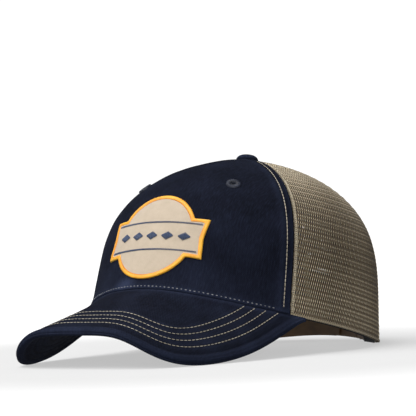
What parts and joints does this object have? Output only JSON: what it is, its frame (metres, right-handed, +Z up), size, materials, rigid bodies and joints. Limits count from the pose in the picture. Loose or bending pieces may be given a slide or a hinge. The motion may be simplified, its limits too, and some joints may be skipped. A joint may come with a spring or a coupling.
{
  "type": "trucker mesh cap",
  "caption": "Trucker cap with a twill front panel, mesh side and back panels, a curved stiffened visor, a blank badge and a snap strap across a rear opening.",
  "frame": {"origin": "middle of the cap's footprint, on the surface that it stands on", "axes": "+Z up, -Y towards the visor, +X towards the wearer's left"},
  "size_m": [0.1736, 0.263, 0.1248],
  "materials": {
    "navy_twill": "garment washed cotton twill",
    "buckram": "stiffened open weave lining",
    "khaki_mesh": "warp knitted polyester mesh",
    "seam_tape": "woven cotton tape",
    "sweatband_cloth": "brushed cotton twill",
    "khaki_binding": "woven cotton tape",
    "strap_plastic": "moulded plastic with a soft sheen",
    "visor_board": "moulded sheet plastic",
    "tinned_steel": "pressed sheet steel",
    "eyelet_thread": "satin stitched thread",
    "patch_twill": "off-white cotton twill",
    "border_thread": "merrowed embroidery thread",
    "motif_thread": "satin stitched embroidery thread"
  },
  "bodies": {
    "cap": {"front_panel": "navy_twill", "front_buckram": "buckram", "side_mesh_left": "khaki_mesh", "side_mesh_right": "khaki_mesh", "back_mesh_left": "khaki_mesh", "back_mesh_right": "khaki_mesh", "rim_hem_left": "khaki_mesh", "rim_hem_right": "khaki_mesh", "seam_tape_front_left": "seam_tape", "seam_tape_front_right": "seam_tape", "seam_tape_side_left": "seam_tape", "seam_tape_side_right": "seam_tape", "seam_tape_back": "seam_tape", "sweatband": "sweatband_cloth", "arch_binding": "khaki_binding", "hole_strap_tab": "strap_plastic", "peg_strap_tab": "strap_plastic", "visor_top_cover": "navy_twill", "visor_board": "visor_board", "visor_under_cover": "navy_twill", "button_shell": "navy_twill", "button_plate": "tinned_steel", "button_rivet": "tinned_steel", "button_washer": "tinned_steel", "eyelet_left": "eyelet_thread", "eyelet_right": "eyelet_thread", "patch_ground": "patch_twill", "patch_border": "border_thread", "patch_motif": "motif_thread"},
    "outer_strap": {"hole_strap": "strap_plastic"},
    "inner_strap": {"peg_strap": "strap_plastic"}
  },
  "joints": [
    {"name": "hole_strap_swing", "type": "hinge", "parent": "cap", "child": "outer_strap", "pos_m": [0.03374, 0.12038, 0.00923], "axis": [0.0475, -0.0403, -0.9981], "range_deg": [0, 60], "stiffness_Nm_per_rad": 0.01},
    {"name": "peg_strap_swing", "type": "hinge", "parent": "cap", "child": "inner_strap", "pos_m": [-0.03374, 0.12038, 0.00923], "axis": [-0.0475, -0.0403, -0.9981], "range_deg": [0, 35], "stiffness_Nm_per_rad": 0.01}
  ]
}
